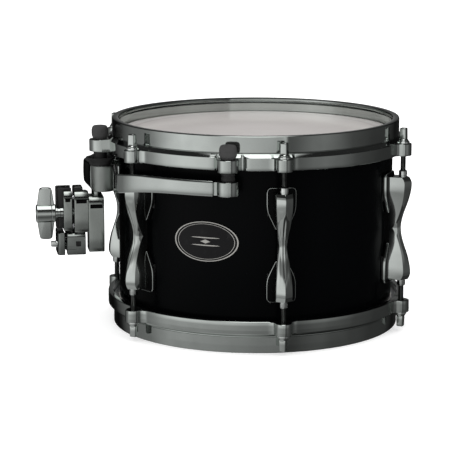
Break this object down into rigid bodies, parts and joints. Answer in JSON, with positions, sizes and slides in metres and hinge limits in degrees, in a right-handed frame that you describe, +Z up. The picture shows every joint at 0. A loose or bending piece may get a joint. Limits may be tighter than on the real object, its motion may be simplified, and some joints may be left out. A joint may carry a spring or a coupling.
{
  "type": "tom tom drum",
  "caption": "Small rack tom with a gloss black wooden shell, dark plated cast hoops and tube lugs, and a three-point suspension arm with a rod clamp.",
  "frame": {"origin": "on the drum's axis, level with the bottom rim", "axes": "+Z up along the drum's axis to the batter head, -Y to the player's front, the rod clamp stands out on the -X side"},
  "size_m": [0.346, 0.302, 0.192],
  "materials": {
    "shell_lacquer": "deep gloss black lacquer on a maple shell",
    "hoop_plating": "polished dark nickel on a cast hoop",
    "lug_plating": "polished dark nickel on a cast lug",
    "arm_plating": "polished dark nickel, lightly brushed",
    "bracket_plating": "satin dark nickel",
    "lock_plating": "satin dark nickel",
    "wing_plating": "polished dark nickel",
    "rod_plating": "polished dark nickel over a rolled thread",
    "small_plating": "polished dark nickel",
    "zinc_steel": "zinc-plated steel",
    "flesh_alloy": "mill-finish channel",
    "drum_film": "glossy pale polyester film",
    "knob_rubber": "moulded matt rubber",
    "isolator_rubber": "moulded black rubber",
    "gasket_rubber": "thin black rubber",
    "saddle_plastic": "moulded black nylon",
    "badge_plate": "black plate with a pale printed border"
  },
  "bodies": {
    "drum": {"shell": "shell_lacquer", "vent_grommet": "small_plating", "badge": "badge_plate", "batter_head": "drum_film", "batter_flesh_hoop": "flesh_alloy", "batter_hoop": "hoop_plating", "batter_rod_washers": "small_plating", "resonant_head": "drum_film", "resonant_flesh_hoop": "flesh_alloy", "resonant_hoop": "hoop_plating", "resonant_rod_washers": "small_plating", "swivel_nuts": "small_plating", "lug_gaskets": "gasket_rubber", "lug_screws": "zinc_steel", "lug_screw_washers": "zinc_steel", "suspension_arm": "arm_plating", "isolators": "isolator_rubber", "suspension_studs": "zinc_steel", "suspension_knobs": "knob_rubber", "bracket_body": "bracket_plating", "bracket_bolt": "zinc_steel", "fixed_saddle": "saddle_plastic", "jaw_guide_pins": "zinc_steel", "memory_lock_block": "lock_plating", "memory_lock_pin": "zinc_steel", "memory_lock_nut": "zinc_steel", "lug_1": "lug_plating", "lug_2": "lug_plating", "lug_3": "lug_plating", "lug_4": "lug_plating", "lug_5": "lug_plating", "lug_6": "lug_plating"},
    "clamp_jaw": {"clamp_jaw": "bracket_plating", "jaw_saddle": "saddle_plastic"},
    "wing_bolt": {"wing_bolt": "wing_plating"},
    "memory_lock_gate": {"memory_lock_gate": "lock_plating"},
    "memory_lock_bolt": {"memory_lock_bolt": "small_plating"},
    "batter_rod_1": {"batter_rod_1": "rod_plating"},
    "resonant_rod_1": {"resonant_rod_1": "rod_plating"},
    "batter_rod_2": {"batter_rod_2": "rod_plating"},
    "resonant_rod_2": {"resonant_rod_2": "rod_plating"},
    "batter_rod_3": {"batter_rod_3": "rod_plating"},
    "resonant_rod_3": {"resonant_rod_3": "rod_plating"},
    "batter_rod_4": {"batter_rod_4": "rod_plating"},
    "resonant_rod_4": {"resonant_rod_4": "rod_plating"},
    "batter_rod_5": {"batter_rod_5": "rod_plating"},
    "resonant_rod_5": {"resonant_rod_5": "rod_plating"},
    "batter_rod_6": {"batter_rod_6": "rod_plating"},
    "resonant_rod_6": {"resonant_rod_6": "rod_plating"}
  },
  "joints": [
    {"name": "clamp_jaw_slide", "type": "slide", "parent": "drum", "child": "clamp_jaw", "axis": [-0.9845, -0.1754, 0], "range_m": [0, 0.00375]},
    {"name": "wing_bolt_turn", "type": "hinge", "parent": "clamp_jaw", "child": "wing_bolt", "pos_m": [-0.18635, -0.03726, 0.1066], "axis": [-0.9845, -0.1754, 0], "range_deg": [0, 1080]},
    {"name": "memory_lock_gate_slide", "type": "slide", "parent": "drum", "child": "memory_lock_gate", "axis": [-0.9845, -0.1754, 0], "range_m": [0, 0.00105]},
    {"name": "memory_lock_bolt_turn", "type": "hinge", "parent": "memory_lock_gate", "child": "memory_lock_bolt", "pos_m": [-0.18421, -0.03789, 0.078], "axis": [-0.9845, -0.1754, 0], "range_deg": [0, 540]},
    {"name": "batter_rod_1_turn", "type": "hinge", "parent": "drum", "child": "batter_rod_1", "pos_m": [0.02489, -0.1397, 0.15], "axis": [0, 0, 1], "continuous": true},
    {"name": "batter_rod_2_turn", "type": "hinge", "parent": "drum", "child": "batter_rod_2", "pos_m": [0.13343, -0.0483, 0.15], "axis": [0, 0, 1], "continuous": true},
    {"name": "batter_rod_3_turn", "type": "hinge", "parent": "drum", "child": "batter_rod_3", "pos_m": [0.10854, 0.0914, 0.15], "axis": [0, 0, 1], "continuous": true},
    {"name": "batter_rod_4_turn", "type": "hinge", "parent": "drum", "child": "batter_rod_4", "pos_m": [-0.02489, 0.1397, 0.15], "axis": [0, 0, 1], "continuous": true},
    {"name": "batter_rod_5_turn", "type": "hinge", "parent": "drum", "child": "batter_rod_5", "pos_m": [-0.13343, 0.0483, 0.15], "axis": [0, 0, 1], "continuous": true},
    {"name": "batter_rod_6_turn", "type": "hinge", "parent": "drum", "child": "batter_rod_6", "pos_m": [-0.10854, -0.0914, 0.15], "axis": [0, 0, 1], "continuous": true},
    {"name": "resonant_rod_1_turn", "type": "hinge", "parent": "drum", "child": "resonant_rod_1", "pos_m": [0.02489, -0.1397, 0.042], "axis": [0, 0, 1], "continuous": true},
    {"name": "resonant_rod_2_turn", "type": "hinge", "parent": "drum", "child": "resonant_rod_2", "pos_m": [0.13343, -0.0483, 0.042], "axis": [0, 0, 1], "continuous": true},
    {"name": "resonant_rod_3_turn", "type": "hinge", "parent": "drum", "child": "resonant_rod_3", "pos_m": [0.10854, 0.0914, 0.042], "axis": [0, 0, 1], "continuous": true},
    {"name": "resonant_rod_4_turn", "type": "hinge", "parent": "drum", "child": "resonant_rod_4", "pos_m": [-0.02489, 0.1397, 0.042], "axis": [0, 0, 1], "continuous": true},
    {"name": "resonant_rod_5_turn", "type": "hinge", "parent": "drum", "child": "resonant_rod_5", "pos_m": [-0.13343, 0.0483, 0.042], "axis": [0, 0, 1], "continuous": true},
    {"name": "resonant_rod_6_turn", "type": "hinge", "parent": "drum", "child": "resonant_rod_6", "pos_m": [-0.10854, -0.0914, 0.042], "axis": [0, 0, 1], "continuous": true}
  ],
  "couplings": [
    {"joint": "wing_bolt_turn", "follows": "clamp_jaw_slide", "rad_per_m": 5026.5},
    {"joint": "memory_lock_bolt_turn", "follows": "memory_lock_gate_slide", "rad_per_m": 8976}
  ]
}
